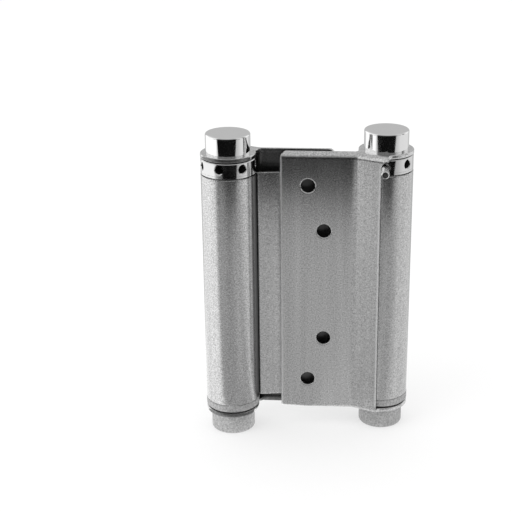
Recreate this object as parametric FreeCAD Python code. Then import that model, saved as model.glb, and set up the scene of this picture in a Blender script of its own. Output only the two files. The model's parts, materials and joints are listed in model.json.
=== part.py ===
import FreeCAD, Part
import math
import os

from FreeCAD import Vector

# Double action cafe hinge, in millimetres, +Z up.
# It stands on its two feet, as it does before it is fitted.
# The origin is midway between the two spindles, at the level that the feet stand on.
# Both side leaves are folded in: their screw plates lie along X.
# The front leaf (towards -Y) hangs on the right spindle (+X), the back leaf on the left one.

# Driving dimensions of the whole hinge
leaf_height = 100.0
sheet = 1.5
axis_spacing = 56.1
barrel_radius = 9.8

# Fits between neighbours: running for turning pieces, seat for faces that only stand clear
running = 0.05
seat = 0.1
leaf_to_barrel = 0.5
leaf_rest_gap = 0.45
seam_gap = 0.6
collar_gap = 0.3
spring_to_barrel = 0.35

# Side leaf, its bend measured outwards from the barrel that it passes
screw_edge_to_axis = 37.25
plate_to_axis = 6.35
bend_past_barrel = 1.2
lap_edge_to_axis = 1.75
soft_bend = 3.0
flange_depth = 2.8
edge_bend = 0.5
top_corner = 2.2
foot_corner = 1.2

# Screw holes
screw_radius = 2.45
screw_chamfer = 0.35
screw_sink = 0.6
outer_screw_spacing = 75.6
inner_screw_spacing = 41.95
outer_screws_to_edge = 9.8
inner_screws_to_edge = 15.55

# Ears of the side leaf
ear_past_barrel = 0.05
ear_fillet_lap = 2.0
ear_fillet_plate = 2.6
ear_neck_inset = 1.0
ear_round = 0.4
ear_sweep = 2.5

# Centre leaf
web_bend = 2.25

# Levels up each spindle
foot_height = 7.75
thrust_washer = 0.5
plug_flange = 2.8
bearing_washer = 0.9
collar_height = 4.65

# Spindle, caps and feet
spindle_radius = 3.0
cap_radius = 7.97
cap_height = 7.05
cap_round = 0.7
foot_radius = 8.1
foot_round = 0.9
spindle_in_cap = 4.8
spindle_off_floor = 0.5

# Barrel plug and thrust washer
plug_past_barrel = 0.1
plug_spigot = 5.5
plug_chamfer = 0.3
key_width = 0.6
key_height = 3.3
key_depth = 0.9
key_root = 0.3
thrust_washer_radius = 7.4

# Tension collar, bearing washer and stop pin
collar_inside_barrel = 0.05
collar_spigot = 3.0
collar_chamfer = 0.25
washer_chamfer = 0.2
collar_holes = 7
hole_mouth = 0.35
hole_level = 2.35
pin_radius = 1.4
pin_chamfer = 0.3
pin_seat_radius = 5.6
pin_tip_radius = 19.8
holes_wound = 2
left_pin_off_leaf = 13.0

# Torsion spring
wire = 2.2
spring_turns = 18
coil_sides = 12
tang = 3.4
tang_fit = 0.12

# Sizes that follow from them
inner_barrel = barrel_radius - sheet
middle_barrel = barrel_radius - sheet / 2
outer_face = plate_to_axis + sheet
bend_to_axis = barrel_radius + bend_past_barrel
ear_radius = barrel_radius + ear_past_barrel
plug_radius = barrel_radius + plug_past_barrel
collar_radius = barrel_radius - collar_inside_barrel
low_ear = foot_height
low_ear_top = low_ear + sheet
leaf_top = foot_height + leaf_height
high_ear = leaf_top - sheet
plug_bottom = low_ear_top + seat + thrust_washer
barrel_bottom = plug_bottom + plug_flange
collar_top = high_ear - 3 * seat
collar_bottom = collar_top - collar_height
washer_top = collar_bottom - seat / 2
barrel_top = washer_top - bearing_washer - collar_gap
pin_level = collar_bottom + hole_level
coil_radius = inner_barrel - spring_to_barrel - wire / 2
edge_bend_out = edge_bend + sheet
half = axis_spacing / 2
hole_pitch = 360 / collar_holes


def turned(angle):
    """Unit vector at an angle in degrees from +X, counted towards +Y."""
    a = math.radians(angle)
    return Vector(math.cos(a), math.sin(a), 0)


def closing_angle():
    """Angle between the line through both spindles and a folded leaf's screw plate.

    The leaf folds until its screw edge stands the rest gap off the web.
    """
    reach = math.hypot(screw_edge_to_axis, plate_to_axis)
    lean = math.atan2(plate_to_axis, screw_edge_to_axis)
    return math.degrees(lean - math.asin((sheet / 2 + leaf_rest_gap) / reach))


closed = closing_angle()
right_axis = turned(closed) * half
left_axis = right_axis * -1


def line(a, b):
    return Part.LineSegment(a, b).toShape()


def arc(centre, radius, start, stop):
    """Arc from one angle to another, in degrees, through the angle midway."""
    points = [centre + turned(a) * radius for a in (start, (start + stop) / 2, stop)]
    return Part.Arc(*points).toShape()


def plate(edges, low, high):
    """Solid of a closed plan outline between two levels."""
    face = Part.Face(Part.Wire(Part.__sortEdges__(edges)))
    face.translate(Vector(0, 0, low))
    return face.extrude(Vector(0, 0, high - low))


def rod(radius, low, high, at=Vector(0, 0, 0)):
    return Part.makeCylinder(radius, high - low, Vector(at.x, at.y, low))


def ring(outer, inner, low, high):
    return rod(outer, low, high).cut(rod(inner, low, high))


def edges_where(shape, test):
    """Edges whose two ends and middle all pass the test."""
    found = []
    for edge in shape.Edges:
        ends = [vertex.Point for vertex in edge.Vertexes]
        middle = edge.valueAt((edge.FirstParameter + edge.LastParameter) / 2)
        if all(test(point) for point in ends + [middle]):
            found.append(edge)
    return found


def rim(shape, level, radius):
    """Round edges about the Z axis at a level and radius."""
    def on_rim(point):
        return abs(point.z - level) < 0.01 and abs(math.hypot(point.x, point.y) - radius) < 0.01
    return edges_where(shape, on_rim)


# Centre leaf: one sheet whose two edges are rolled into the barrels

bend_reach = middle_barrel + web_bend
roll_root = math.degrees(math.asin(web_bend / bend_reach))


def roll_tip():
    """Angle about the left spindle where the rolled sheet ends, a seam gap short of its own bend."""
    clear = web_bend + sheet / 2 + seam_gap
    square = barrel_radius ** 2 + bend_reach ** 2 - clear ** 2
    return 360 + roll_root - math.degrees(math.acos(square / (2 * barrel_radius * bend_reach)))


def half_section():
    """Plan outline of the left half of the centre leaf, its web along X."""
    barrel = Vector(-half, 0, 0)
    bend = barrel + turned(roll_root) * bend_reach
    tip = roll_tip()
    way = turned(tip)
    front = Vector(0, -sheet / 2, 0)
    back = Vector(0, sheet / 2, 0)
    flat = Vector(bend.x, 0, 0)
    return [
        line(back, front),
        line(front, front + flat),
        arc(bend, web_bend + sheet / 2, 270, roll_root + 180),
        arc(barrel, inner_barrel, roll_root, tip),
        line(barrel + way * inner_barrel, barrel + way * barrel_radius),
        arc(barrel, barrel_radius, roll_root, tip),
        arc(bend, web_bend - sheet / 2, 270, roll_root + 180),
        line(back, back + flat),
    ]


def centre_leaf():
    left = plate(half_section(), barrel_bottom, barrel_top)
    right = left.copy()
    right.rotate(Vector(0, 0, 0), Vector(0, 0, 1), 180)
    leaf = left.fuse(right).removeSplitter()
    leaf.rotate(Vector(0, 0, 0), Vector(0, 0, 1), closed)
    return leaf


# Side leaf: screw plate, soft bend, lap past the barrel, narrow flanges and round ears

def lap_angle():
    """Angle that the lap turns out by, so that it clears the barrel it passes."""
    reach = math.hypot(bend_to_axis, outer_face)
    lean = math.atan2(outer_face, bend_to_axis)
    stand_off = barrel_radius + leaf_to_barrel + sheet
    return math.degrees(math.asin(stand_off / reach) - lean)


def leaf_line(inset, overrun=0):
    """Corner points of the leaf in plan, at a distance inside its outer face.

    The lap ends in a face along Y, which points at the spindle. Overrun carries it further.
    """
    turn = math.radians(lap_angle())
    corner = Vector(-bend_to_axis, -outer_face, 0)
    lap = Vector(math.cos(turn), -math.sin(turn), 0)
    lap_in = Vector(math.sin(turn), math.cos(turn), 0)
    lap_length = (bend_to_axis - lap_edge_to_axis + overrun - lap_in.x * inset) / lap.x
    free = Vector(-screw_edge_to_axis, inset - outer_face, 0)
    bend = corner + Vector(math.tan(turn / 2), 1, 0) * inset
    edge = corner + lap * lap_length + lap_in * inset
    return free, bend, edge


def leaf_strip(depth, overrun=0):
    """Plan outline of a strip that follows the leaf, its corner rounded by the soft bend."""
    turn = lap_angle()
    free, bend, edge = leaf_line(0, overrun)
    free_in, bend_in, edge_in = leaf_line(depth, overrun)
    radius = soft_bend + sheet
    set_back = radius * math.tan(math.radians(turn / 2))
    centre = bend + Vector(-set_back, -radius, 0)
    lap = (edge - bend).normalize()
    inner_radius = radius + depth
    return [
        line(free, bend - Vector(set_back, 0, 0)),
        arc(centre, radius, 90, 90 - turn),
        line(bend + lap * set_back, edge),
        line(edge, edge_in),
        line(edge_in, centre + turned(90 - turn) * inner_radius),
        arc(centre, inner_radius, 90, 90 - turn),
        line(centre + turned(90) * inner_radius, free_in),
        line(free_in, free),
    ]


def corner_web(radius, first, first_point, eye, side):
    """Plan outline that rounds the corner between a straight edge and the ear's eye.

    first is the edge's direction, and side is the edge's normal on the open side.
    """
    offset = first_point + side * radius
    middle = offset.dot(first)
    slack = math.sqrt((eye + radius) ** 2 - offset.dot(side) ** 2)
    centre = first * (math.copysign(slack, middle)) + side * offset.dot(side)
    on_edge = centre - side * radius
    on_eye = centre * (eye / (eye + radius))
    outwards = Vector(centre).normalize()
    bulge = centre - (side + outwards).normalize() * radius
    return on_edge, bulge, on_eye


def ear(low, high, overrun):
    """Round ear about the spindle, joined to the lap by concave corners, its outline rounded over."""
    free_in, bend_in, edge_in = leaf_line(flange_depth)
    free, bend, edge = leaf_line(0, overrun)
    lap = (edge - bend).normalize()
    lap_in = Vector(-lap.y, lap.x, 0)
    along, across = Vector(1, 0, 0), Vector(0, 1, 0)
    eye = rod(ear_radius, low, high)
    right = corner_web(ear_fillet_lap, across, edge, ear_radius, along)
    left = corner_web(ear_fillet_plate, along, free_in, ear_radius, across)
    inner_edge = edge + across * edge_bend_out
    inner_bend = bend + lap * ear_neck_inset + lap_in * edge_bend_out
    neck = [
        Part.Arc(*right).toShape(),
        line(right[0], inner_edge),
        line(inner_edge, inner_bend),
        line(inner_bend, left[0]),
        Part.Arc(*left).toShape(),
        line(left[2], Vector(0, 0, 0)),
        line(Vector(0, 0, 0), right[2]),
    ]
    whole = eye.fuse(plate(neck, low, high)).removeSplitter()

    def on_face(point):
        return min(abs(point.z - low), abs(point.z - high)) < 0.01

    curved = [edge for edge in edges_where(whole, on_face) if isinstance(edge.Curve, Part.Circle)]
    return whole.makeFillet(ear_round, curved)


def swept_corner():
    """The lap's upper end, which sweeps out in a concave curve to meet the ear."""
    free, bend, edge = leaf_line(0, ear_sweep)
    level = high_ear - ear_sweep
    wall = plate(leaf_strip(sheet, ear_sweep), level, leaf_top)
    start = Vector(edge.x, edge.y - sheet, level)
    return wall.cut(Part.makeCylinder(ear_sweep, 4 * sheet, start, Vector(0, 1, 0)))


def corner_cut(height, direction, radius):
    """Waste outside a rounded corner of the screw edge, through the whole depth."""
    x = -screw_edge_to_axis
    deep = 4 * outer_face
    low = min(height, height - direction * radius)
    block = Part.makeBox(radius, deep, radius, Vector(x, -deep / 2, low))
    centre = Vector(x + radius, -deep, height - direction * radius)
    return block.cut(Part.makeCylinder(radius, 2 * deep, centre, Vector(0, 1, 0)))


def screw_cuts():
    """Clearance holes, sunk on the side where the screw heads go and eased on the outer face."""
    middle = foot_height + leaf_height / 2
    cuts = []
    rows = ((outer_screws_to_edge, outer_screw_spacing), (inner_screws_to_edge, inner_screw_spacing))
    for to_edge, spacing in rows:
        for side in (-1, 1):
            at = Vector(to_edge - screw_edge_to_axis, -outer_face, middle + side * spacing / 2)
            hole = Part.makeCylinder(screw_radius, sheet, at, Vector(0, 1, 0))
            mouth = Part.makeCone(screw_radius + screw_chamfer, screw_radius, screw_chamfer,
                                  at, Vector(0, 1, 0))
            sink = Part.makeCone(screw_radius, screw_radius + screw_sink, screw_sink,
                                 at + Vector(0, sheet - screw_sink, 0), Vector(0, 1, 0))
            cuts += [hole, mouth, sink]
    return cuts


def side_leaf():
    """Side leaf about a spindle at the origin, its screw plate towards -X and -Y."""
    wall = plate(leaf_strip(sheet), low_ear, leaf_top)
    rows = ((low_ear, 0), (high_ear, ear_sweep))
    flanges = [plate(leaf_strip(flange_depth, over), low, low + sheet) for low, over in rows]
    leaf = wall.multiFuse(flanges + [swept_corner()]).removeSplitter()
    free, bend, edge = leaf_line(0)
    lap = (edge - bend).normalize()
    lap_in = Vector(-lap.y, lap.x, 0)

    def on_outer_face(point):
        flat = abs(point.y + outer_face) < 0.01 and point.x < bend.x
        off = (point - bend).dot(lap_in)
        return flat or (point.x >= bend.x - soft_bend and off < 0.01)

    def on_outer_edge(point):
        level = min(abs(point.z - low_ear), abs(point.z - leaf_top)) < 0.01
        return level and on_outer_face(point)

    leaf = leaf.makeFillet(edge_bend_out, edges_where(leaf, on_outer_edge))
    ears = [ear(low, low + sheet, over) for low, over in rows]
    leaf = leaf.multiFuse(ears).removeSplitter()
    leaf = leaf.cut(corner_cut(leaf_top, 1, top_corner))
    leaf = leaf.cut(corner_cut(low_ear, -1, foot_corner))
    for cutter in screw_cuts():
        leaf = leaf.cut(cutter)
    for low in (low_ear, high_ear):
        leaf = leaf.cut(rod(spindle_radius, low - 1, low + sheet + 1))
    return leaf


# Pieces that turn on or hold the spindle, all about a spindle at the origin

def spindle():
    return rod(spindle_radius, spindle_off_floor, leaf_top + spindle_in_cap)


def top_cap():
    top = leaf_top + cap_height
    cap = rod(cap_radius, leaf_top, top)
    cap = cap.makeFillet(cap_round, rim(cap, top, cap_radius))
    return cap.cut(rod(spindle_radius, leaf_top, leaf_top + spindle_in_cap))


def foot():
    base = rod(foot_radius, 0, foot_height)
    base = base.makeFillet(foot_round, rim(base, 0, foot_radius))
    return base.cut(rod(spindle_radius, 0, foot_height))


def thrust_washer_ring():
    return ring(thrust_washer_radius, spindle_radius + 2 * seat, low_ear_top + seat / 2,
                plug_bottom - seat / 2)


def bearing_washer_ring():
    washer = ring(collar_radius, inner_barrel, washer_top - bearing_washer, washer_top)
    return washer.makeChamfer(washer_chamfer, rim(washer, washer_top - bearing_washer, collar_radius))


def tang_hole(low, high):
    return rod(wire * math.sqrt(0.5) + tang_fit, low, high, Vector(coil_radius, 0, 0))


def key_lead():
    """Angle from the end of the rolled sheet to the middle of the plug's key."""
    return math.degrees(math.asin((key_width / 2 + seat) / middle_barrel))


def barrel_plug(seam):
    """Flanged plug pressed into the barrel's foot, keyed in the seam of the rolled sheet."""
    top = barrel_bottom + plug_spigot
    plug = rod(plug_radius, plug_bottom, barrel_bottom)
    rims = rim(plug, plug_bottom, plug_radius) + rim(plug, barrel_bottom, plug_radius)
    plug = plug.makeChamfer(plug_chamfer, rims)
    spigot = rod(inner_barrel, barrel_bottom, top)
    plug = plug.fuse(spigot)
    key = Part.makeBox(key_root + key_depth, key_width, key_height,
                       Vector(inner_barrel - key_root, -key_width / 2, barrel_bottom))
    key.rotate(Vector(0, 0, 0), Vector(0, 0, 1), seam)
    plug = plug.fuse(key).removeSplitter()
    plug = plug.cut(rod(spindle_radius + running, plug_bottom, top))
    return plug.cut(tang_hole(top - tang - 2 * seat, top))


def tension_collar():
    """Collar with radial holes for the winding bar and the stop pin."""
    spigot_low = washer_top - bearing_washer - collar_gap - collar_spigot
    collar = rod(collar_radius, collar_bottom, collar_top)
    collar = collar.makeChamfer(collar_chamfer, rim(collar, collar_top, collar_radius))
    collar = collar.fuse(rod(inner_barrel - running, spigot_low, collar_bottom)).removeSplitter()
    depth = collar_radius - pin_seat_radius
    hole_radius = pin_radius + 2 * running
    for number in range(collar_holes):
        way = turned(stop_angle() + number * hole_pitch)
        floor = way * (pin_seat_radius - seat) + Vector(0, 0, pin_level)
        collar = collar.cut(Part.makeCylinder(hole_radius, depth + 1, floor, way))
        mouth = way * (collar_radius - 2 * hole_mouth) + Vector(0, 0, pin_level)
        cone = Part.makeCone(hole_radius - hole_mouth, hole_radius + hole_mouth, 2 * hole_mouth,
                             mouth, way)
        collar = collar.cut(cone)
    collar = collar.cut(rod(spindle_radius + running, spigot_low, collar_top))
    return collar.cut(tang_hole(spigot_low, spigot_low + tang + 2 * seat))


def stop_angle():
    """Angle of the stop pin that rests against the edge of the leaf's lap."""
    angles = []
    for corner in (leaf_line(0)[2], leaf_line(sheet)[2]):
        reach = math.hypot(corner.x, corner.y)
        edge = math.degrees(math.atan2(corner.y, corner.x))
        angles.append(edge + math.degrees(math.asin((pin_radius + running) / reach)))
    return max(angles)


def stop_pin(pin_angle):
    way = turned(pin_angle)
    start = way * pin_seat_radius + Vector(0, 0, pin_level)
    pin = Part.makeCylinder(pin_radius, pin_tip_radius - pin_seat_radius, start, way)
    ends = [edge for edge in pin.Edges if isinstance(edge.Curve, Part.Circle)]
    return pin.makeChamfer(pin_chamfer, ends)


def torsion_spring(collar_turn):
    """Right-hand coil of square wire with a straight tang at each end.

    Each turn runs through a few flat sides, which keeps the long coil light.
    """
    side = wire / 2
    low = barrel_bottom + plug_spigot + seat + side
    high = washer_top - bearing_washer - collar_gap - collar_spigot - seat - side
    whole_turn = spring_turns * 360 + collar_turn
    steps = round(whole_turn * coil_sides / 360)
    sections = []
    for step in range(steps + 1):
        way = turned(whole_turn * step / steps)
        level = low + (high - low) * step / steps
        corners = [way * (coil_radius + x) + Vector(0, 0, level + z)
                   for x, z in ((-side, -side), (side, -side), (side, side), (-side, side))]
        sections.append(Part.makePolygon(corners + corners[:1]))
    coil = Part.makeLoft(sections, True, True)
    for turn, base in ((0, low - side - tang), (collar_turn, high)):
        bar = Part.makeBox(wire, wire, tang + side, Vector(coil_radius - side, -side, base))
        bar.rotate(Vector(0, 0, 0), Vector(0, 0, 1), turn)
        coil = coil.fuse(bar)
    return coil


def placed(shape, side):
    """A piece made about a spindle at the origin, put on the right or the left spindle."""
    copy = shape.copy()
    copy.translate(right_axis)
    if side == "left":
        copy.rotate(Vector(0, 0, 0), Vector(0, 0, 1), 180)
    return copy


def pieces():
    """Every piece of the hinge by its node name."""
    nodes = {"centre_leaf": centre_leaf()}
    leaf = side_leaf()
    nodes["front_leaf"] = placed(leaf, "right")
    nodes["back_leaf"] = placed(leaf, "left")
    seam = closed + 180 + roll_tip() + key_lead()
    unwound = left_pin_off_leaf - holes_wound * hole_pitch
    for side, pin_turn, collar_turn in (("right", 0, 0), ("left", left_pin_off_leaf, unwound)):
        collar = tension_collar()
        collar.rotate(Vector(0, 0, 0), Vector(0, 0, 1), collar_turn)
        nodes[side + "_spindle"] = placed(spindle(), side)
        nodes[side + "_top_cap"] = placed(top_cap(), side)
        nodes[side + "_foot"] = placed(foot(), side)
        nodes[side + "_thrust_washer"] = placed(thrust_washer_ring(), side)
        nodes[side + "_bearing_washer"] = placed(bearing_washer_ring(), side)
        nodes[side + "_barrel_plug"] = placed(barrel_plug(seam), side)
        nodes[side + "_tension_collar"] = placed(collar, side)
        nodes[side + "_stop_pin"] = placed(stop_pin(stop_angle() + pin_turn), side)
        nodes[side + "_torsion_spring"] = placed(torsion_spring(collar_turn), side)
    return nodes


os.makedirs("parts", exist_ok=True)
for node, shape in pieces().items():
    solid = shape.Solids[0] if len(shape.Solids) == 1 else shape
    solid.exportStep("parts/" + node + ".step")
    print(node, "valid", solid.isValid(), "solids", len(shape.Solids), "volume", round(solid.Volume, 2))
print("closed angle", round(closed, 3), "lap angle", round(lap_angle(), 3), "stop", round(stop_angle(), 2))
print("right axis", right_axis, "barrel", barrel_bottom, barrel_top, "pin level", pin_level)
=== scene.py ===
import json
import math

import bpy
from mathutils import Matrix, Vector

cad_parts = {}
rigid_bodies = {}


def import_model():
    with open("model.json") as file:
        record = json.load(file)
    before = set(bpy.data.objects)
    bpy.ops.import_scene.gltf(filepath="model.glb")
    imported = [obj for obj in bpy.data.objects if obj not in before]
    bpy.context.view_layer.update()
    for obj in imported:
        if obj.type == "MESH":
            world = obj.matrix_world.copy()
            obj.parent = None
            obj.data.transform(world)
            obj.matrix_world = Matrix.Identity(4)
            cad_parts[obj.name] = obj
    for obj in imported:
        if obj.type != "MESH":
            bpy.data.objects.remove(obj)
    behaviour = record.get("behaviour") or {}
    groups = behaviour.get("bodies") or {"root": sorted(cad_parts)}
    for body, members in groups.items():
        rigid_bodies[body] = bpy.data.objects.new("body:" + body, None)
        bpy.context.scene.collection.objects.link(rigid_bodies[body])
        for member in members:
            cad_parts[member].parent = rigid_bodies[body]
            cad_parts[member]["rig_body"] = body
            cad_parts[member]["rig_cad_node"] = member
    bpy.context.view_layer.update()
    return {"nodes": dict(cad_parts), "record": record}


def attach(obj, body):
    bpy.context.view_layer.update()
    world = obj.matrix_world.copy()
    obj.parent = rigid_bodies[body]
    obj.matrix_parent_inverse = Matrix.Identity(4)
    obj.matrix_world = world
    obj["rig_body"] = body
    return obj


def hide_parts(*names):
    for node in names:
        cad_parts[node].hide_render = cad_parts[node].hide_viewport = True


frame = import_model()

# Where the dressing finds the CAD pieces' surfaces, in metres and degrees
RIGHT_AXIS = Vector((0.0277869, 0.0038332, 0))
BARREL_REACH = 0.00982
SEAM = Vector((0.0179, 0.0033, 0))
WEB_TURN = 7.854
LEAF_MIDDLE = 0.05775
FREE_EDGE = -0.00946
LAP_EDGE = 0.02604
SCREW_HOLE_REACH = 0.00255
SCREW_ROWS = ((0.00034, 0.0378), (0.00609, 0.020975))
PIN_LEVEL = 0.10365
COLLAR_WALL = (0.0034, 0.00945)
COLLAR_HOLE_REACH = 0.0015

# How far the edge rounding, the painted edge highlights and the painted shade reach, in metres
SOFT_EDGE = 0.0006
FREE_EDGE_HIGHLIGHT = (0.0003, 0.0008)
LAP_EDGE_HIGHLIGHT = (0.0009, 0.0003)
LAP_HIGHLIGHT_END = (0.0465, 0.0475)
SEAM_SHADE_REACH = (0.0022, 0.0062)
WEB_SHADE_REACH = (0.0065, 0.0110)


# Picking and finishing

def pick_only(piece):
    """Select one object alone and make it the active one."""
    bpy.ops.object.select_all(action="DESELECT")
    piece.select_set(True)
    bpy.context.view_layer.objects.active = piece


def body_of_node(node):
    """Name of the moving body that carries a CAD node."""
    for body, nodes in frame["record"]["behaviour"]["bodies"].items():
        if node in nodes:
            return body


def dress(node, name, finish):
    """Copy a CAD node, whose normals are those of the exact surfaces, and give it its finish."""
    pick_only(frame["nodes"][node])
    bpy.ops.object.duplicate()
    piece = bpy.context.active_object
    piece.name = name
    piece.data.name = name
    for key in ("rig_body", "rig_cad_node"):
        if key in piece:
            del piece[key]
    piece.data.materials.clear()
    piece.data.materials.append(finish)
    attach(piece, body_of_node(node))
    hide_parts(node)
    return piece


def refinish(piece, finish, inside):
    """Give the faces whose middle and normal pass the test a finish of their own."""
    piece.data.materials.append(finish)
    place = len(piece.data.materials) - 1
    for face in piece.data.polygons:
        if inside(face.center, face.normal):
            face.material_index = place


# Node building

def join(tree, value, socket):
    """Give a socket a plain value, or link another socket to it."""
    if isinstance(value, bpy.types.NodeSocket):
        tree.links.new(value, socket)
    else:
        socket.default_value = value


def sums(tree, kind, first, second=0):
    """One Math node; either input may be a number or a socket."""
    node = tree.nodes.new("ShaderNodeMath")
    node.operation = kind
    for socket, value in zip(node.inputs, (first, second)):
        join(tree, value, socket)
    return node.outputs["Value"]


def spread(tree, value, low, high, start=0.3, stop=0.7):
    """Map the part of a value from start to stop to the range from low to high."""
    reach = tree.nodes.new("ShaderNodeMapRange")
    reach.inputs["From Min"].default_value = start
    reach.inputs["From Max"].default_value = stop
    reach.inputs["To Min"].default_value = low
    reach.inputs["To Max"].default_value = high
    tree.links.new(value, reach.inputs["Value"])
    return reach.outputs["Result"]


def mixed(tree, kind, share, first, second):
    """Mix two numbers or colours by a share from 0 to 1; each may be a value or a socket."""
    mix = tree.nodes.new("ShaderNodeMix")
    mix.data_type = kind
    join(tree, share, mix.inputs["Factor"])
    join(tree, first, mix.inputs["A"])
    join(tree, second, mix.inputs["B"])
    return mix.outputs["Result"]


def split(tree, vector):
    """The X, Y and Z of a vector."""
    parts = tree.nodes.new("ShaderNodeSeparateXYZ")
    tree.links.new(vector, parts.inputs["Vector"])
    return parts.outputs


def mapped(tree, vector, **settings):
    """A Mapping node with the given inputs."""
    place = tree.nodes.new("ShaderNodeMapping")
    tree.links.new(vector, place.inputs["Vector"])
    for name, value in settings.items():
        place.inputs[name].default_value = value
    return place.outputs["Vector"]


def own_place(tree):
    """The piece's Object coordinates."""
    return tree.nodes.new("ShaderNodeTexCoord").outputs["Object"]


def noise(tree, vector, scale, stretch=(1, 1, 1), detail=3.0, roughness=0.5):
    """Noise on Object coordinates, stretched along the axes by a Mapping node."""
    grain = tree.nodes.new("ShaderNodeTexNoise")
    grain.inputs["Scale"].default_value = scale
    grain.inputs["Detail"].default_value = detail
    grain.inputs["Roughness"].default_value = roughness
    tree.links.new(mapped(tree, vector, Scale=stretch), grain.inputs["Vector"])
    return grain.outputs["Fac"]


def bump(tree, shader, height, distance):
    """Fine relief on the shader's normal."""
    relief = tree.nodes.new("ShaderNodeBump")
    relief.inputs["Distance"].default_value = distance
    tree.links.new(height, relief.inputs["Height"])
    tree.links.new(relief.outputs["Normal"], shader.inputs["Normal"])
    return relief


def soften_edges(tree, relief):
    """Round the sheet's cut edges in the light, as tumbling leaves them."""
    soft = tree.nodes.new("ShaderNodeBevel")
    soft.samples = 6
    soft.inputs["Radius"].default_value = SOFT_EDGE
    tree.links.new(soft.outputs["Normal"], relief.inputs["Normal"])


def grey(level):
    """A neutral tone."""
    return level, level, level


def shade(tone, share=1.0):
    """A tone made lighter or darker by a share, as a node's colour."""
    return (*(min(1.0, channel * share) for channel in tone), 1)


# Finishes

def new_finish(name, metallic):
    """A node material with its shader and Object coordinates."""
    finish = bpy.data.materials.new(name)
    finish.use_nodes = True
    tree = finish.node_tree
    shader = tree.nodes["Principled BSDF"]
    shader.inputs["Metallic"].default_value = metallic
    return finish, tree, shader, own_place(tree)


def satin_steel(name, tone, rough):
    """Stainless sheet with a blasted grain, faint rolling streaks and handling clouds."""
    finish, tree, shader, where = new_finish(name, 1.0)
    grain = noise(tree, where, scale=2000.0, roughness=0.7)
    streaks = noise(tree, where, scale=420.0, stretch=(1, 1, 0.03))
    clouds = noise(tree, where, scale=55.0, stretch=(1, 1, 0.5), detail=2.0)
    both = sums(tree, "ADD", sums(tree, "MULTIPLY", grain, 0.86), sums(tree, "MULTIPLY", streaks, 0.14))
    speckle = mixed(tree, "RGBA", spread(tree, both, 0.0, 1.0), shade(tone, 0.54), shade(tone, 1.46))
    join(tree, speckle, shader.inputs["Base Color"])
    join(tree, spread(tree, clouds, rough - 0.02, rough + 0.02), shader.inputs["Roughness"])
    soften_edges(tree, bump(tree, shader, grain, distance=0.000008))
    return finish


def lay_over(finish, share, tone, rough):
    """Lay another tone and roughness over a finish where the share is 1."""
    tree = finish.node_tree
    shader = tree.nodes["Principled BSDF"]
    for name, kind, value in (("Base Color", "RGBA", shade(tone)), ("Roughness", "FLOAT", rough)):
        socket = shader.inputs[name]
        join(tree, mixed(tree, kind, share, socket.links[0].from_socket, value), socket)


def paint_web_shade(finish):
    """Paint shade on the web between the leaves: a dark, rougher band down its middle, behind the screw
    holes.
    """
    tree = finish.node_tree
    turned = mapped(tree, own_place(tree), Rotation=(0, 0, math.radians(-WEB_TURN)))
    away = sums(tree, "ABSOLUTE", split(tree, turned)["X"])
    # painted shade: tone 0.15 over the web's middle, fading out towards the barrels
    lay_over(finish, spread(tree, away, 1.0, 0.0, *WEB_SHADE_REACH), tone=grey(0.15), rough=0.4)


def paint_edge_highlights(finish, sign):
    """Paint highlights along a leaf's free edge and the edge of its lap, as pale strips of near white."""
    tree = finish.node_tree
    parts = split(tree, own_place(tree))
    along = sums(tree, "MULTIPLY", parts["X"], sign)
    free = spread(tree, along, 0.8, 0.0, *(FREE_EDGE + edge_offset for edge_offset in FREE_EDGE_HIGHLIGHT))
    lap = spread(tree, along, 0.0, 1.0, *(LAP_EDGE - edge_offset for edge_offset in LAP_EDGE_HIGHLIGHT))
    rise = sums(tree, "ABSOLUTE", sums(tree, "SUBTRACT", parts["Z"], LEAF_MIDDLE))
    lap = sums(tree, "MULTIPLY", lap, spread(tree, rise, 1.0, 0.0, *LAP_HIGHLIGHT_END))
    # painted highlight: near-white tone along the free edge and the lap's edge
    lay_over(finish, sums(tree, "MAXIMUM", free, lap), tone=grey(0.97), rough=0.5)


def paint_seam_shade(finish):
    """Paint shade on the rolled barrels towards their seams, in the crease against the web."""
    tree = finish.node_tree
    flat = mapped(tree, own_place(tree), Scale=(1, 1, 0))
    reach = []
    for line in (SEAM, -SEAM):
        gap = tree.nodes.new("ShaderNodeVectorMath")
        gap.operation = "DISTANCE"
        gap.inputs[1].default_value = line
        tree.links.new(flat, gap.inputs[0])
        reach.append(gap.outputs["Value"])
    nearest = sums(tree, "MINIMUM", *reach)
    # painted shade: tone 0.05 near each seam, fading out within a few millimetres
    lay_over(finish, spread(tree, nearest, 1.0, 0.0, *SEAM_SHADE_REACH), tone=grey(0.05), rough=0.4)


def polished_steel(name, tone, rough):
    """Mirror polished metal with the faintest buffing haze."""
    finish, tree, shader, where = new_finish(name, 1.0)
    haze = noise(tree, where, scale=220.0)
    join(tree, spread(tree, haze, rough * 0.7, rough * 1.5), shader.inputs["Roughness"])
    join(tree, mixed(tree, "RGBA", haze, shade(tone, 0.97), shade(tone, 1.02)), shader.inputs["Base Color"])
    return finish


def dull_zinc(name, tone, rough):
    """Tumbled zinc: a pale, speckled and slightly pebbled surface."""
    finish, tree, shader, where = new_finish(name, 0.6)
    pebble = noise(tree, where, scale=1800.0, roughness=0.6)
    patch = noise(tree, where, scale=1500.0, roughness=0.7)
    speckle = mixed(tree, "RGBA", spread(tree, patch, 0.0, 1.0), shade(tone, 0.60), shade(tone, 1.45))
    join(tree, speckle, shader.inputs["Base Color"])
    join(tree, spread(tree, pebble, rough - 0.06, rough + 0.08), shader.inputs["Roughness"])
    bump(tree, shader, pebble, distance=0.00002)
    return finish


def oiled_spring(name):
    """Drawn spring wire with an oil film."""
    finish, tree, shader, where = new_finish(name, 1.0)
    streak = noise(tree, where, scale=500.0, stretch=(1, 1, 0.4))
    wire = mixed(tree, "RGBA", streak, shade((0.10, 0.10, 0.11)), shade((0.22, 0.22, 0.23)))
    join(tree, wire, shader.inputs["Base Color"])
    join(tree, spread(tree, streak, 0.28, 0.45), shader.inputs["Roughness"])
    return finish


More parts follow.
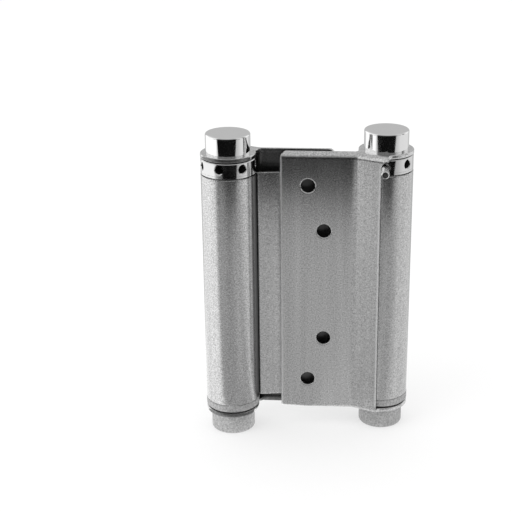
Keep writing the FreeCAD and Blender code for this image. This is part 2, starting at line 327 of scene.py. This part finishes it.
def paint_bore_shade(name):
    """Painted shade for the walls of holes: near black, matt and hardly reflecting."""
    finish, tree, shader, where = new_finish(name, 0.0)
    shade_mottle = noise(tree, where, scale=900.0, detail=2.0)
    wall = mixed(tree, "RGBA", shade_mottle, shade(grey(0.006)), shade(grey(0.02)))
    join(tree, wall, shader.inputs["Base Color"])
    shader.inputs["Roughness"].default_value = 0.6
    shader.inputs["Specular IOR Level"].default_value = 0.2
    return finish


def black_plastic(name):
    """Moulded black plastic with a fine matt texture."""
    finish, tree, shader, where = new_finish(name, 0.0)
    pebble = noise(tree, where, scale=1800.0, detail=2.0)
    skin = mixed(tree, "RGBA", pebble, shade(grey(0.012)), shade(grey(0.03)))
    join(tree, skin, shader.inputs["Base Color"])
    join(tree, spread(tree, pebble, 0.45, 0.6), shader.inputs["Roughness"])
    bump(tree, shader, pebble, distance=0.00001)
    return finish


leaf_finishes = {}
for side, sign in (("front", 1), ("back", -1)):
    leaf_finishes[side] = satin_steel("satin_" + side + "_leaf_steel_with_painted_highlight", tone=grey(0.68), rough=0.175)
    # painted highlights along the leaf's edges
    paint_edge_highlights(leaf_finishes[side], sign)
web_finish = satin_steel("satin_web_steel_with_painted_shade", tone=grey(0.70), rough=0.175)
# painted shade down the middle of the web
paint_web_shade(web_finish)
barrel_finish = satin_steel("satin_barrel_steel_with_painted_shade", tone=grey(0.58), rough=0.18)
# painted shade in the crease at each seam
paint_seam_shade(barrel_finish)
# painted shade: a dark satin tone for the leaves' faces folded towards the web
inner_shade_finish = satin_steel("painted_shade_inner_steel", tone=grey(0.19), rough=0.30)
# painted highlight: a pale, dull tone on the ears' outward rims beside the lap
edge_highlight_finish = dull_zinc("painted_highlight_edge", tone=grey(0.78), rough=0.55)
cap_finish = polished_steel("polished_cap_steel", tone=grey(0.85), rough=0.05)
collar_finish = polished_steel("polished_collar_steel", tone=grey(0.73), rough=0.07)
pin_finish = polished_steel("polished_pin_steel", tone=grey(0.68), rough=0.16)
spindle_finish = satin_steel("turned_spindle_steel", tone=(0.66, 0.66, 0.65), rough=0.25)
zinc_finish = dull_zinc("dull_zinc_casting", tone=grey(0.42), rough=0.50)
spring_finish = oiled_spring("oiled_spring_wire")
washer_finish = black_plastic("black_washer_plastic")
# painted shade: near black for the walls of the holes
bore_shade_finish = paint_bore_shade("painted_shade_bore")


# Dressing: every CAD node in a copy of its own mesh

centre = dress("centre_leaf", "centre_leaf_with_barrels", web_finish)
leaves = {"right": dress("front_leaf", "front_side_leaf", leaf_finishes["front"]),
          "left": dress("back_leaf", "back_side_leaf", leaf_finishes["back"])}
collars = {}
for side in ("right", "left"):
    dress(side + "_top_cap", side + "_cap", cap_finish)
    collars[side] = dress(side + "_tension_collar", side + "_collar", collar_finish)
    dress(side + "_bearing_washer", side + "_bearing_ring", collar_finish)
    dress(side + "_stop_pin", side + "_pin", pin_finish)
    dress(side + "_foot", side + "_foot_cup", zinc_finish)
    dress(side + "_barrel_plug", side + "_plug", zinc_finish)
    dress(side + "_thrust_washer", side + "_plastic_washer", washer_finish)
    dress(side + "_spindle", side + "_rod", spindle_finish)
    dress(side + "_torsion_spring", side + "_spring", spring_finish)


# Surfaces with a finish of their own; sign is 1 on the right and front, -1 on the left and back

def off_axis(middle, sign):
    """Distance from one side's spindle axis."""
    return math.hypot(middle.x - RIGHT_AXIS.x * sign, middle.y - RIGHT_AXIS.y * sign)


def on_barrel(middle, normal):
    """True on both rolled barrels, inside and out."""
    return min(off_axis(middle, 1), off_axis(middle, -1)) < BARREL_REACH


def collar_hole_test(sign):
    """Test for the walls of a collar's radial holes."""
    def in_collar_hole(middle, normal):
        inside, outside = COLLAR_WALL
        in_wall = inside < off_axis(middle, sign) < outside
        return in_wall and abs(middle.z - PIN_LEVEL) < COLLAR_HOLE_REACH
    return in_collar_hole


def screw_hole_test(sign):
    """Test for the walls of a leaf's screw holes."""
    def in_screw_hole(middle, normal):
        nearest = min(math.hypot(middle.x * sign - x, abs(middle.z - LEAF_MIDDLE) - rise)
                      for x, rise in SCREW_ROWS)
        return nearest < SCREW_HOLE_REACH and abs(normal.y) < 0.5
    return in_screw_hole


def inner_face_test(sign):
    """Test for the face of a leaf that is folded towards the web."""
    def on_inner_face(middle, normal):
        return normal.y * sign > 0.5
    return on_inner_face


def ear_rim_test(sign):
    """Test for the stretch of the ears' rims that faces outwards beside the lap."""
    def on_ear_rim(middle, normal):
        return normal.x * sign > 0.85 and normal.y * sign < -0.3
    return on_ear_rim


for side, sign in (("right", 1), ("left", -1)):
    # painted shade on the walls of the collar's holes
    refinish(collars[side], bore_shade_finish, collar_hole_test(sign))
    # painted shade on the faces folded towards the web
    refinish(leaves[side], inner_shade_finish, inner_face_test(sign))
    # painted highlight on the ears' outward rims
    refinish(leaves[side], edge_highlight_finish, ear_rim_test(sign))
    # painted shade on the walls of the screw holes
    refinish(leaves[side], bore_shade_finish, screw_hole_test(sign))
refinish(centre, barrel_finish, on_barrel)


# Studio tones in the metal: degrees from the front, positive towards +X, and a level

LIGHTEST = 1.4
TABLE = ((-180, 0.38), (-140, 0.45), (-130, 0.85), (-58, 0.85), (-46, 0.33), (4, 0.32), (16, 0.38),
         (40, 0.36), (52, 0.42), (75, 0.58), (130, 0.60), (140, 0.45), (180, 0.38))
LOW_WALLS = ((-180, 0.38), (-142, 0.40), (-134, 0.9), (-100, 1.0), (-97, 0.6), (-93, 0.6), (-90, 1.0),
             (-54, 0.95), (-49, 0.01), (50, 0.01), (55, 0.45), (70, 0.55), (82, 0.5), (85, 0.08),
             (95, 0.1), (99, 0.4), (112, 0.8), (140, 0.75), (146, 0.40), (180, 0.38))
HIGH_WALLS = ((-180, 0.38), (-142, 0.40), (-134, 0.9), (-54, 0.95), (-44, 0.05), (42, 0.05), (54, 0.5),
              (84, 0.7), (87, 0.08), (95, 0.1), (99, 0.4), (112, 0.8), (140, 0.75), (146, 0.40),
              (180, 0.38))
CEILING = 0.42
LOW_TO_HIGH = (0.0, 0.12)
HIGH_TO_CEILING = (0.10, 0.85)

# The table's front edge, in metres: it leans in plan near the middle, and little is seen beyond it
TABLE_EDGE = -0.275
TABLE_LEAN = 0.28
LEAN_ENDS = (0.12, 0.22)
BEYOND_TABLE = 0.01


def round_angle(tree, x, y):
    """Angle about Z from the front (-Y), positive towards +X, as a share of a whole turn."""
    angle = sums(tree, "ARCTAN2", x, sums(tree, "MULTIPLY", y, -1.0))
    return spread(tree, angle, 0.0, 1.0, -math.pi, math.pi)


def tone_ramp(tree, value, stops):
    """Grey ramp over the whole turn; stops are degrees from the front and a level."""
    node = tree.nodes.new("ShaderNodeValToRGB")
    ramp = node.color_ramp
    while len(ramp.elements) < len(stops):
        ramp.elements.new(0.5)
    for element, (angle, level) in zip(ramp.elements, stops):
        element.position = (angle + 180) / 360
        element.color = shade(grey(level))
    tree.links.new(value, node.inputs["Fac"])
    return node.outputs["Color"]


def metal_sees(tree, plain, in_metal):
    """Show one shader to the eye and another in reflections."""
    path = tree.nodes.new("ShaderNodeLightPath")
    mix = tree.nodes.new("ShaderNodeMixShader")
    tree.links.new(path.outputs["Is Glossy Ray"], mix.inputs["Fac"])
    tree.links.new(plain, mix.inputs[1])
    tree.links.new(in_metal, mix.inputs[2])
    return mix.outputs["Shader"]


# Table top: near white to the eye, a grey front zone and lighter sides in the metal

bpy.ops.mesh.primitive_plane_add(size=3.2, location=(0, 0, 0))
floor = bpy.context.active_object
floor.name = "pale_table"
floor_finish = bpy.data.materials.new("pale_table_top")
floor_finish.use_nodes = True
tree = floor_finish.node_tree
shader = tree.nodes["Principled BSDF"]
shader.inputs["Base Color"].default_value = shade(grey(0.50))
shader.inputs["Emission Color"].default_value = shade(grey(1.0))
shader.inputs["Emission Strength"].default_value = 0.50
shader.inputs["Roughness"].default_value = 0.9
shader.inputs["Specular IOR Level"].default_value = 0.0

parts = split(tree, tree.nodes.new("ShaderNodeNewGeometry").outputs["Position"])
tones = tone_ramp(tree, round_angle(tree, parts["X"], parts["Y"]), TABLE)
aside = sums(tree, "ABSOLUTE", parts["X"])
lean = sums(tree, "MULTIPLY", parts["X"], spread(tree, aside, TABLE_LEAN, 0.0, *LEAN_ENDS))
on_table = sums(tree, "GREATER_THAN", sums(tree, "SUBTRACT", parts["Y"], lean), TABLE_EDGE)
on_table = sums(tree, "MAXIMUM", on_table, BEYOND_TABLE)
seen_in_metal = tree.nodes.new("ShaderNodeEmission")
tree.links.new(tones, seen_in_metal.inputs["Color"])
tree.links.new(sums(tree, "MULTIPLY", on_table, LIGHTEST), seen_in_metal.inputs["Strength"])
top = metal_sees(tree, shader.outputs["BSDF"], seen_in_metal.outputs["Emission"])
tree.links.new(top, tree.nodes["Material Output"].inputs["Surface"])
floor.data.materials.append(floor_finish)


# Studio: a white room with a dark opening on the camera's side, seen in the metal only

world = bpy.data.worlds.new("white_studio")
bpy.context.scene.world = world
world.use_nodes = True
tree = world.node_tree
tree.nodes.clear()
parts = split(tree, tree.nodes.new("ShaderNodeTexCoord").outputs["Generated"])
turn = round_angle(tree, parts["X"], parts["Y"])
walls = mixed(tree, "RGBA", spread(tree, parts["Z"], 0.0, 1.0, *LOW_TO_HIGH),
              tone_ramp(tree, turn, LOW_WALLS), tone_ramp(tree, turn, HIGH_WALLS))
room = mixed(tree, "RGBA", spread(tree, parts["Z"], 0.0, 1.0, *HIGH_TO_CEILING), walls,
             shade(grey(CEILING)))
metal_view = tree.nodes.new("ShaderNodeBackground")
tree.links.new(room, metal_view.inputs["Color"])
metal_view.inputs["Strength"].default_value = LIGHTEST
backdrop = tree.nodes.new("ShaderNodeBackground")
backdrop.inputs["Color"].default_value = shade(grey(1.0))
backdrop.inputs["Strength"].default_value = 1.0
output = tree.nodes.new("ShaderNodeOutputWorld")
tree.links.new(metal_sees(tree, backdrop.outputs["Background"], metal_view.outputs["Background"]),
               output.inputs["Surface"])

bpy.ops.object.light_add(type="AREA", location=(-0.45, -0.35, 0.75))
key = bpy.context.active_object
key.name = "soft_key"
key.data.shape = "RECTANGLE"
key.data.size = 0.5
key.data.size_y = 0.5
key.data.energy = 1.5
key.rotation_euler = (math.radians(40), 0, math.radians(-52))
key.visible_glossy = False


# Camera at the photograph's viewing angle, in metres and degrees

CAMERA_PLACE = (0.01966, -0.41885, 0.22876)
TURN_LEFT = 3.50
LOOK_DOWN = 20.752
ROLL = -0.182

bpy.ops.object.camera_add(location=CAMERA_PLACE)
camera = bpy.context.active_object
camera.name = "studio_camera"
turn_left = Matrix.Rotation(math.radians(TURN_LEFT), 3, "Z")
look_down = Matrix.Rotation(math.radians(90 - LOOK_DOWN), 3, "X")
roll = Matrix.Rotation(math.radians(ROLL), 3, "Z")
camera.rotation_euler = (turn_left @ look_down @ roll).to_euler()
camera.data.sensor_width = 36.0
camera.data.lens = 86.72
camera.data.shift_x = -0.0683
camera.data.shift_y = -0.0113
camera.data.clip_start = 0.01
bpy.context.scene.camera = camera
bpy.context.scene.view_settings.view_transform = "Standard"
